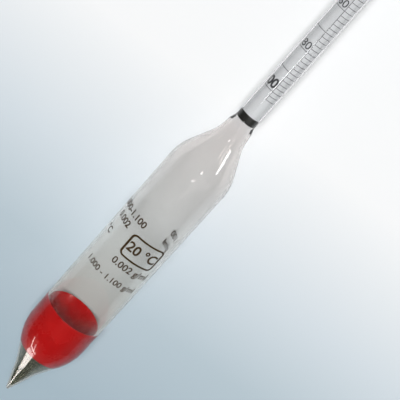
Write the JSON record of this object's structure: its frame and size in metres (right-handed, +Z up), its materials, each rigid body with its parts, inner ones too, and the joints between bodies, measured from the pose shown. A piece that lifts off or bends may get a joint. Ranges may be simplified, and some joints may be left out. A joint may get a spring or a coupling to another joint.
{
  "type": "hydrometer",
  "caption": "Glass hydrometer: a long bulb with shot and red wax in its pointed nose, and a thin stem holding a rolled paper density scale.",
  "frame": {"origin": "centre of the bounding box, on the surface that the bulb lies on", "axes": "+X along the glass from the pointed nose to the closed end of the stem; +Z up, the side that the scale's rule and the bulb's print face"},
  "size_m": [0.2172, 0.019, 0.019],
  "materials": {
    "clear_glass": "clear polished",
    "lead_shot": "dull metallic grains",
    "red_wax": "opaque sealing wax",
    "black_ring": "gloss black",
    "scale_paper": "matt white paper",
    "scale_ink": "printed ink",
    "brown_enamel": "fired enamel print"
  },
  "bodies": {
    "root": {"glass_envelope": "clear_glass", "ballast_shot": "lead_shot", "sealing_wax": "red_wax", "scale_ring": "black_ring", "paper_scale": "scale_paper", "scale_graduations": "scale_ink", "bulb_frame": "brown_enamel"}
  },
  "joints": []
}
